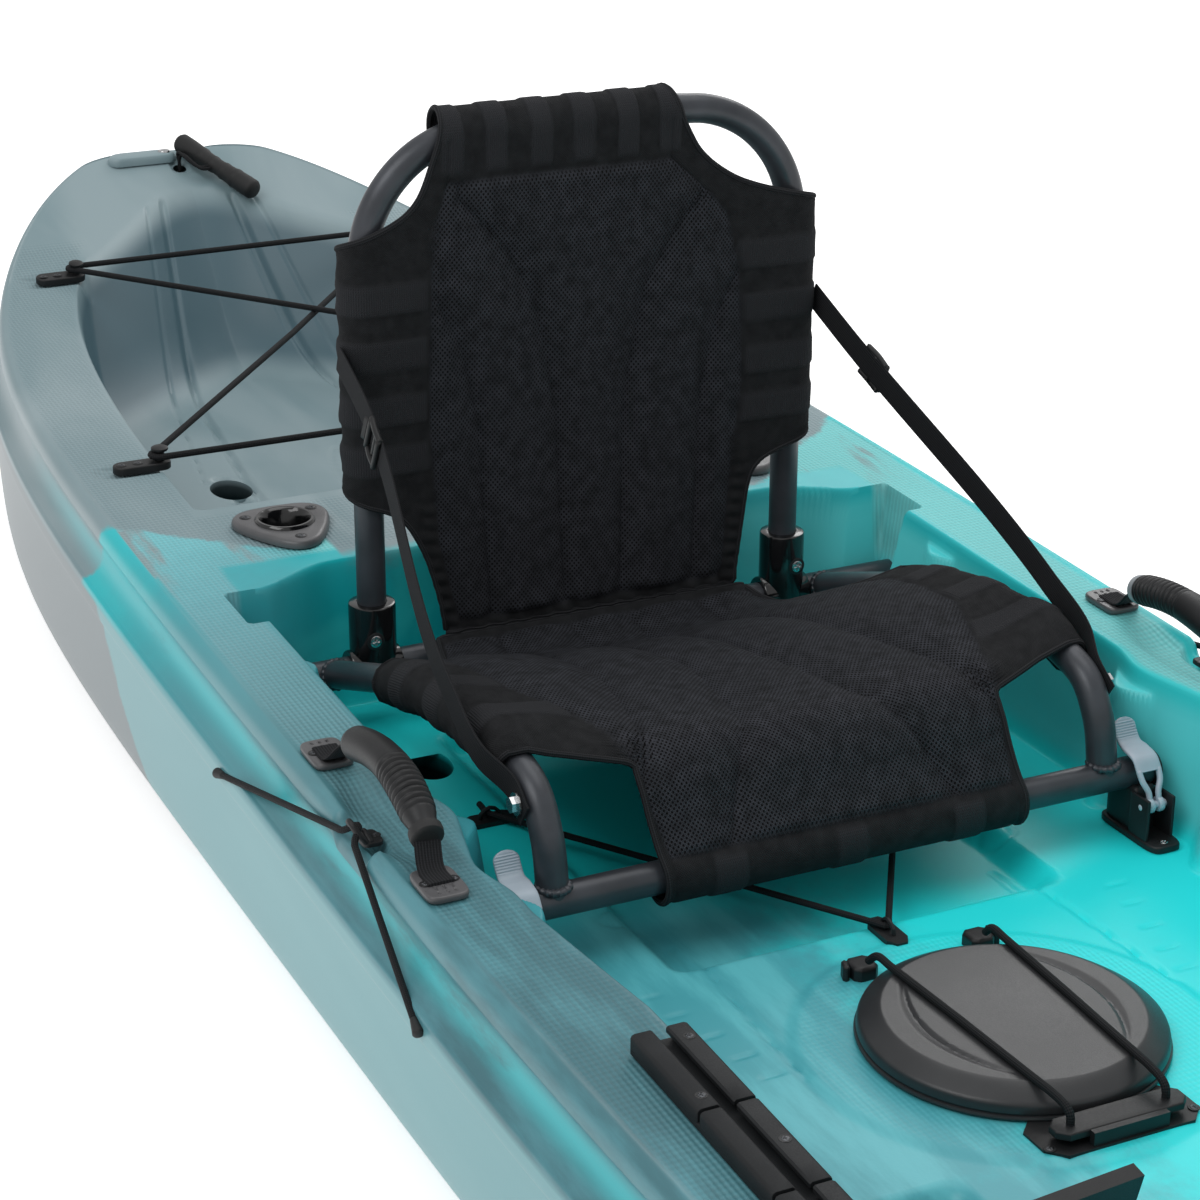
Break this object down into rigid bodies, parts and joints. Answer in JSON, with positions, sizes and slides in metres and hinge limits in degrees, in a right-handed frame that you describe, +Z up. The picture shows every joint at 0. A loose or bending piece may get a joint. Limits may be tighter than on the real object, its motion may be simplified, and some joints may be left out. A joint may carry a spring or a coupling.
{
  "type": "fishing kayak",
  "caption": "Sit-on-top fishing kayak with a framed sling seat, round deck hatch, laced tank well, rod holders, carry handles and foot braces.",
  "frame": {"origin": "middle of the hull's length, on the plane that the hull stands on", "axes": "+X to the bow, +Y to port, +Z up"},
  "size_m": [3.14, 0.8074, 0.6505],
  "materials": {
    "shell": "satin rotomoulded polyethylene, turquoise and slate blend",
    "plastic": "black moulded plastic",
    "grey_plastic": "grey moulded plastic",
    "tube": "anthracite powder coat",
    "fabric": "black woven polyester and mesh",
    "cord": "black braided elastic cord",
    "steel": "stainless",
    "rubber": "matte black rubber"
  },
  "bodies": {
    "kayak": {"hull": "shell", "tank_hook_aft_port": "plastic", "tank_hook_aft_starboard": "plastic", "tank_hook_fore_port": "plastic", "tank_hook_fore_starboard": "plastic", "tank_bungee": "cord", "rod_holder_port": "plastic", "rod_holder_starboard": "plastic", "hatch_collar": "plastic", "hatch_catch": "plastic", "hatch_cord_anchor_port": "plastic", "hatch_cord_anchor_starboard": "plastic", "accessory_track_port": "plastic", "accessory_track_starboard": "plastic", "handle_plate_aft_port": "plastic", "handle_plate_aft_starboard": "plastic", "handle_plate_fore_port": "plastic", "handle_plate_fore_starboard": "plastic", "paddle_keeper_hook_port": "plastic", "paddle_keeper_cord_port": "cord", "paddle_keeper_hook_starboard": "plastic", "paddle_keeper_cord_starboard": "cord", "seat_padeye_centre": "plastic", "seat_padeye_port": "plastic", "seat_padeye_starboard": "plastic", "seat_floor_bungee": "cord", "foot_rail_port": "plastic", "foot_rail_starboard": "plastic", "seat_base_frame": "tube", "seat_sling": "fabric", "seat_strap_port": "fabric", "strap_bolt_port": "steel", "seat_strap_starboard": "fabric", "strap_bolt_starboard": "steel", "latch_base_port": "plastic", "latch_base_starboard": "plastic"},
    "seat_back": {"seat_back_frame": "tube", "seat_back_socket_port": "plastic", "seat_back_socket_starboard": "plastic", "seat_back_sling": "fabric", "seat_buckle_port": "plastic", "seat_buckle_starboard": "plastic"},
    "latch_port": {"latch_lever_port": "grey_plastic"},
    "latch_starboard": {"latch_lever_starboard": "grey_plastic"},
    "hatch": {"hatch_lid": "plastic", "hatch_seal": "rubber", "hatch_pull_tab": "plastic", "hatch_cord_port": "cord", "hatch_cord_starboard": "cord"},
    "handle_port": {"carry_grip_port": "plastic", "carry_web_port": "fabric"},
    "handle_starboard": {"carry_grip_starboard": "plastic", "carry_web_starboard": "fabric"},
    "toggle_stern": {"toggle_grip_stern": "rubber", "toggle_cord_stern": "cord"},
    "toggle_bow": {"toggle_grip_bow": "rubber", "toggle_cord_bow": "cord"},
    "pedal_port": {"foot_pedal_port": "plastic"},
    "pedal_starboard": {"foot_pedal_starboard": "plastic"},
    "drain": {"drain_plug": "rubber"}
  },
  "joints": [
    {"name": "seat_back_fold", "type": "hinge", "parent": "kayak", "child": "seat_back", "pos_m": [-0.372, 0, 0.167], "axis": [0, 1, 0], "range_deg": [-8, 38], "deforming": ["seat_strap_port", "seat_strap_starboard"]},
    {"name": "latch_lever_port_open", "type": "hinge", "parent": "kayak", "child": "latch_port", "pos_m": [0.115, 0.271, 0.15], "axis": [0, 1, 0], "range_deg": [0, 100]},
    {"name": "latch_lever_starboard_open", "type": "hinge", "parent": "kayak", "child": "latch_starboard", "pos_m": [0.115, -0.271, 0.15], "axis": [0, 1, 0], "range_deg": [0, 100]},
    {"name": "hatch_open", "type": "hinge", "parent": "kayak", "child": "hatch", "pos_m": [0.216, 0, 0.1243], "axis": [0, -1, 0], "range_deg": [0, 80], "deforming": ["hatch_cord_port", "hatch_cord_starboard"]},
    {"name": "carry_handle_port_tip", "type": "hinge", "parent": "kayak", "child": "handle_port", "pos_m": [0.037, 0.355, 0.2413], "axis": [-1, 0, 0], "range_deg": [-20, 60], "deforming": ["carry_web_port"]},
    {"name": "carry_handle_starboard_tip", "type": "hinge", "parent": "kayak", "child": "handle_starboard", "pos_m": [0.037, -0.355, 0.2413], "axis": [1, 0, 0], "range_deg": [-20, 60], "deforming": ["carry_web_starboard"]},
    {"name": "toggle_stern_lift", "type": "slide", "parent": "kayak", "child": "toggle_stern", "axis": [0, 0, 1], "range_m": [0, 0.03], "deforming": ["toggle_cord_stern"]},
    {"name": "toggle_bow_lift", "type": "slide", "parent": "kayak", "child": "toggle_bow", "axis": [0, 0, 1], "range_m": [0, 0.03], "deforming": ["toggle_cord_bow"]},
    {"name": "foot_pedal_port_slide", "type": "slide", "parent": "kayak", "child": "pedal_port", "axis": [0.9965, -0.0833, 0], "range_m": [-0.13, 0.13]},
    {"name": "foot_pedal_starboard_slide", "type": "slide", "parent": "kayak", "child": "pedal_starboard", "axis": [0.9965, 0.0833, 0], "range_m": [-0.13, 0.13]},
    {"name": "drain_plug_turn", "type": "hinge", "parent": "kayak", "child": "drain", "pos_m": [-1.562, 0, 0.262], "axis": [-1, 0, 0], "continuous": true}
  ]
}
